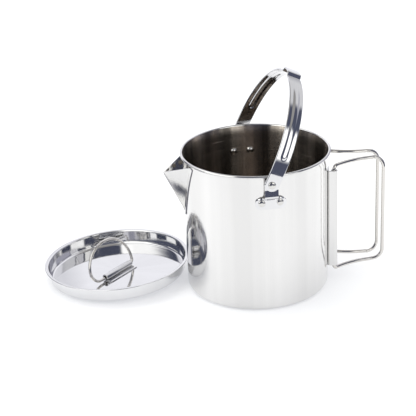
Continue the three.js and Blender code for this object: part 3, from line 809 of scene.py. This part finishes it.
def lid_spot():
    """The frame of the ring's sleeve on the lid: X along the sleeve, Z up from the lid's floor."""
    height = SHEET + 0.08 + SLEEVE_RADIUS
    shift = Matrix.Translation((SLEEVE_X, SLEEVE_Y, height))
    return lid_matrix() @ shift @ Matrix.Rotation(SLEEVE_TURN, 4, "Z")


def make_sleeve():
    """A strip rolled over the ring's wire, with its flat tail welded to the lid."""
    roll = SLEEVE_RADIUS - SHEET / 2
    tail = [(-SLEEVE_TAIL + 0.4 + t, -roll) for t in spaced(0, SLEEVE_TAIL - 0.4, 10)]
    curl = arc(0, SLEEVE_ROOM, roll + SLEEVE_ROOM, -math.pi / 2, math.radians(205), 40)
    outline = thickened(tail[:-1] + curl, SHEET)
    lay = lid_spot() @ Matrix(((0, 0, 1, 0), (1, 0, 0, 0), (0, 1, 0, 0), (0, 0, 0, 1)))
    half = SLEEVE_LENGTH / 2
    sleeve = prism("ring_sleeve", outline, -half, half, STRAP_STEEL, lay, chamfer=0.15)
    placed(sleeve, "lid", "strap_steel", "lid_ring_sleeve")


def make_ring():
    """A D of wire whose straight side turns in the sleeve; its two lower corners are bent differently."""
    crown = []
    for t in spaced(0, math.pi, 72):
        foot = RING_RIGHT if t < math.pi / 2 else RING_LEFT
        crown.append(Vector((RING_HALF * math.cos(t), 0, foot + (RING_HEIGHT - foot) * math.sin(t))))
    right, left = Vector((RING_HALF, 0, 0)), Vector((-RING_HALF, 0, 0))
    points = [Vector((0, 0, 0))] + bend(right, -X_AXIS, Z_AXIS, RING_RIGHT) + crown[1:-1]
    points += bend(left, Z_AXIS, X_AXIS, RING_LEFT, 20) + [Vector((-0.4, 0, 0))]
    turn = lid_spot() @ Matrix.Translation((RING_OFFSET, 0, 0)) @ Matrix.Rotation(-RING_LEAN, 4, "X")
    section = round_section(RING_RADIUS, 24)
    ring = sweep("ring_wire", dense(points, 1.5), section, WIRE_STEEL, turn, hint=Y_AXIS)
    placed(ring, "ring", "wire_steel", "lid_ring")


def make_lid():
    pan = lathe("lid_pressing", lid_profile(), LID_STEEL, segments=288, matrix=lid_matrix())
    placed(pan, "lid", "lid_steel", "lid_pan")
    make_sleeve()
    make_ring()


# ---- studio -----------------------------------------------------------------------------------------

def plain(name, colour, strength=None):
    """A matt surface, or one that only glows when it is given a strength."""
    material = bpy.data.materials.new(name)
    material.use_nodes = True
    nodes, links = material.node_tree.nodes, material.node_tree.links
    shader = nodes["Principled BSDF"]
    if strength is None:
        shader.inputs["Base Color"].default_value = (*colour, 1)
        shader.inputs["Roughness"].default_value = 0.9
        shader.inputs["Specular IOR Level"].default_value = 0.1
        return material
    glow = nodes.new("ShaderNodeEmission")
    glow.inputs["Color"].default_value = (*colour, 1)
    glow.inputs["Strength"].default_value = strength
    links.new(glow.outputs["Emission"], nodes["Material Output"].inputs["Surface"])
    return material


def only_reflected(panel):
    """A studio panel that shows in reflections but casts no shadow and isn't seen itself."""
    panel.visible_camera = False
    panel.visible_diffuse = False
    panel.visible_shadow = False
    panel.visible_transmission = False


STUDIO = Vector((-20, 0, 60))
DOME = 400.0
DARK_ROOM = (0.10, 0.11, 0.16)
# Soft panels of the dome: azimuths, elevations, width of the soft edge (all in degrees) and colour.
# Azimuth 0 is in front of the kettle, 90 beyond its handle and -90 beyond its spout.
PANELS = (
    ((-400, 400), (56, 120), 12, (0.40, 0.39, 0.38)),       # ceiling
    ((86, 142), (-8, 36), 14, (0.50, 0.50, 0.58)),          # side wall
    ((80, 150), (34, 58), 14, (0.85, 0.85, 0.87)),          # and its lit upper part
    ((142, 202), (-12, 58), 8, (1.08, 1.08, 1.13)),         # backdrop
    ((-158, -142), (-12, 58), 8, (1.08, 1.08, 1.13)),
    ((-84, -38), (3, 60), 6, (1.75, 1.75, 1.70)),           # left softbox
    ((-128, -60), (23, 62), 6, (1.60, 1.60, 1.56)),         # and one above it
    ((12, 52), (9, 26), 4, (1.75, 1.75, 1.72)),             # right softbox
    ((12, 43), (20, 44), 5, (1.75, 1.75, 1.72)),
)


def within(value, low, high, soft):
    """1 inside a range and 0 outside it, with soft edges centred on its ends."""
    half = soft / 2
    return smoothstep(low - half, low + half, value) * (1 - smoothstep(high - half, high + half, value))


def dome_colour(azimuth, elevation):
    colour = Vector(DARK_ROOM)
    for azimuths, elevations, soft, panel in PANELS:
        across = max(within(azimuth + turn, *azimuths, soft) for turn in (-360, 0, 360))
        colour = colour.lerp(Vector(panel), across * within(elevation, *elevations, soft))
    return colour


def make_dome():
    """A dome that is seen only in reflections, painted with soft panels of light."""
    bm = bmesh.new()
    glow = bm.loops.layers.float_color.new("glow")
    columns, rows = 180, 50
    grid = []
    for elevation in spaced(-10, 90, rows):
        e = math.radians(elevation)
        ring = []
        for i in range(columns):
            azimuth = 360 * i / columns - 180
            a = math.radians(azimuth)
            offset = Vector((math.sin(a) * math.cos(e), -math.cos(a) * math.cos(e), math.sin(e))) * DOME
            point = STUDIO + offset
            vert = bm.verts.new((point.x, point.y, max(point.z, 0.5)))
            ring.append((vert, (*dome_colour(azimuth, elevation), 1)))
        grid.append(ring)
    for low, high in zip(grid, grid[1:]):
        for i in range(columns):
            corners = (low[i], low[(i + 1) % columns], high[(i + 1) % columns], high[i])
            face = bm.faces.new([vert for vert, _ in corners])
            for loop, (_, colour) in zip(face.loops, corners):
                loop[glow] = colour
    material = plain("dome glow", (1, 1, 1), 1.0)
    nodes, links = material.node_tree.nodes, material.node_tree.links
    paint = nodes.new("ShaderNodeVertexColor")
    paint.layer_name = "glow"
    links.new(paint.outputs["Color"], nodes["Emission"].inputs["Color"])
    only_reflected(finished("dome", bm, material, sharp=180))


def make_floor():
    """A pale floor that glows a little, as paper lit from all sides does, to keep its shadows faint."""
    bm = bmesh.new()
    bmesh.ops.create_grid(bm, x_segments=1, y_segments=1, size=12000)
    material = plain("floor white", (0.64, 0.64, 0.63))
    shader = material.node_tree.nodes["Principled BSDF"]
    shader.inputs["Emission Color"].default_value = (0.93, 0.945, 1.0, 1)
    shader.inputs["Emission Strength"].default_value = 0.42
    finished("floor", bm, material)


def make_studio():
    make_floor()
    make_dome()

    world = bpy.data.worlds.new("studio")
    bpy.context.scene.world = world
    world.use_nodes = True
    sky = world.node_tree.nodes["Background"]
    sky.inputs["Color"].default_value = (1.0, 1.0, 1.0, 1)
    sky.inputs["Strength"].default_value = 1.15

    key = bpy.data.lights.new("overhead softbox", "AREA")
    key.shape = "RECTANGLE"
    key.size, key.size_y = 0.9, 0.7
    key.energy = 3.0
    lamp = bpy.data.objects.new("overhead softbox", key)
    lamp.location = (-0.35, 0.25, 1.2)
    lamp.rotation_euler = (Vector((0, 0, 0)) - lamp.location).to_track_quat("-Z", "Y").to_euler()
    lamp.visible_glossy = False
    bpy.context.scene.collection.objects.link(lamp)


def make_camera():
    """The camera stands in front and a little to the spout's side, looking down at the pot."""
    camera = bpy.data.cameras.new("camera")
    camera.lens = 117.63
    camera.sensor_width = 36.0
    camera.clip_start, camera.clip_end = 0.05, 60.0
    holder = bpy.data.objects.new("camera", camera)
    stand = Vector((-202.76, -1031.03, 518.46))
    aim = Vector((-40.11, 6.29, 68.23))
    look = (aim - stand).to_track_quat("-Z", "Y").to_matrix().to_4x4()
    roll = Matrix.Rotation(math.radians(-2.1516), 4, "Z")
    holder.matrix_world = Matrix.Translation(stand * MM) @ look @ roll
    bpy.context.scene.collection.objects.link(holder)
    bpy.context.scene.camera = holder
    bpy.context.scene.view_settings.view_transform = "Standard"


make_camera()
make_studio()
make_pot()
make_spout()
make_ears()
make_bail()
make_handle()
make_lid()
